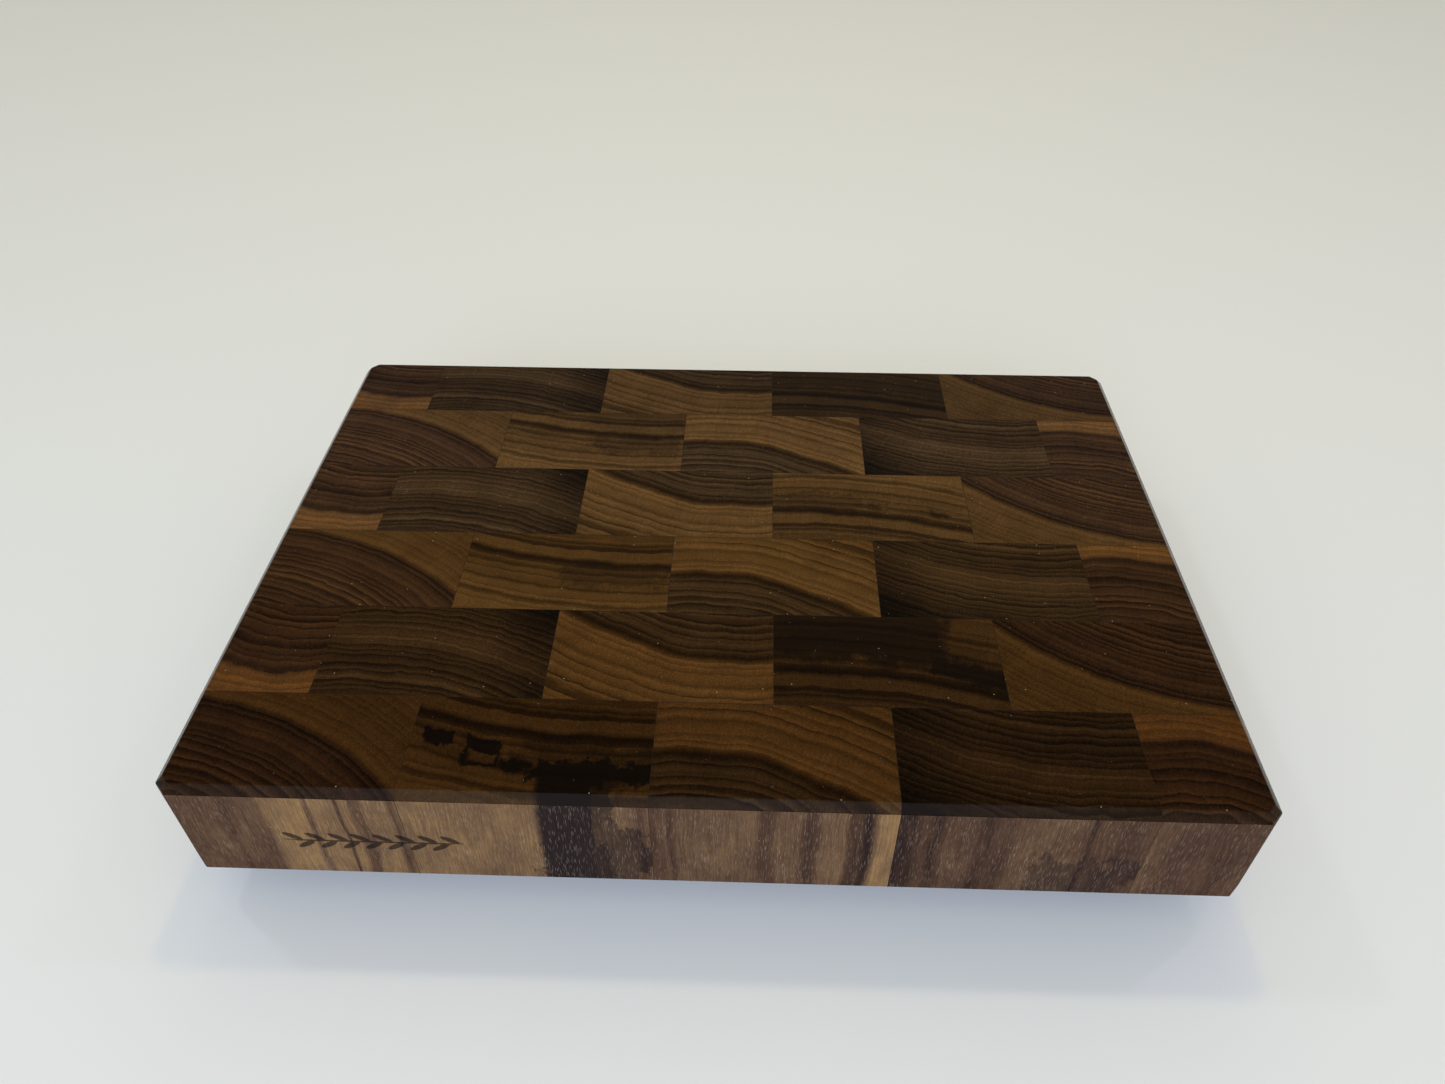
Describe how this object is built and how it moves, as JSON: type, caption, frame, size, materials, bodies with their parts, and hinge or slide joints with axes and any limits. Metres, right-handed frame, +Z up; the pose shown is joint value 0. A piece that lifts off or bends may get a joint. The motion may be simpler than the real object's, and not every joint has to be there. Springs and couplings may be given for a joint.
{
  "type": "cutting board",
  "caption": "Rectangular end-grain walnut cutting board with chamfered edges, laid up from staggered blocks in strips, standing on rubber feet screwed to its underside.",
  "frame": {"origin": "on the surface that the feet stand on, under the middle of the board", "axes": "+X along the length of the board, +Y from the front edge to the back edge, +Z up, with the cutting face on top"},
  "size_m": [0.406, 0.285, 0.072],
  "materials": {
    "walnut_a": "oiled walnut, satin-matte, end grain up, plum brown with an orange-tan sapwood band",
    "walnut_b": "oiled walnut, satin-matte, end grain up, dark brown with gentle S-shaped rings",
    "walnut_c": "oiled walnut, satin-matte, end grain up, golden brown with thin sweeping rings",
    "walnut_d": "oiled walnut, satin-matte, end grain up, dark banded figure",
    "walnut_e": "oiled walnut, satin-matte, end grain up, light heart and a dark outer half",
    "glue": "cured dark glue film, sanded flush",
    "foot_rubber": "matte moulded black rubber",
    "washer_steel": "zinc-plated, dull",
    "screw_steel": "stainless, satin"
  },
  "bodies": {
    "root": {"strip1_block_a": "walnut_a", "strip1_block_b": "walnut_b", "strip1_block_c": "walnut_c", "strip1_block_d": "walnut_d", "strip1_block_e": "walnut_e", "strip2_block_a": "walnut_a", "strip2_block_b": "walnut_b", "strip2_block_c": "walnut_c", "strip2_block_d": "walnut_d", "strip2_block_e": "walnut_e", "strip3_block_a": "walnut_a", "strip3_block_b": "walnut_b", "strip3_block_c": "walnut_c", "strip3_block_d": "walnut_d", "strip3_block_e": "walnut_e", "strip4_block_a": "walnut_a", "strip4_block_b": "walnut_b", "strip4_block_c": "walnut_c", "strip4_block_d": "walnut_d", "strip4_block_e": "walnut_e", "strip5_block_a": "walnut_a", "strip5_block_b": "walnut_b", "strip5_block_c": "walnut_c", "strip5_block_d": "walnut_d", "strip5_block_e": "walnut_e", "strip6_block_a": "walnut_a", "strip6_block_b": "walnut_b", "strip6_block_c": "walnut_c", "strip6_block_d": "walnut_d", "strip6_block_e": "walnut_e", "glue_lines": "glue", "foot_front_left": "foot_rubber", "washer_front_left": "washer_steel", "screw_front_left": "screw_steel", "foot_front_right": "foot_rubber", "washer_front_right": "washer_steel", "screw_front_right": "screw_steel", "foot_back_left": "foot_rubber", "washer_back_left": "washer_steel", "screw_back_left": "screw_steel", "foot_back_right": "foot_rubber", "washer_back_right": "washer_steel", "screw_back_right": "screw_steel"}
  },
  "joints": []
}
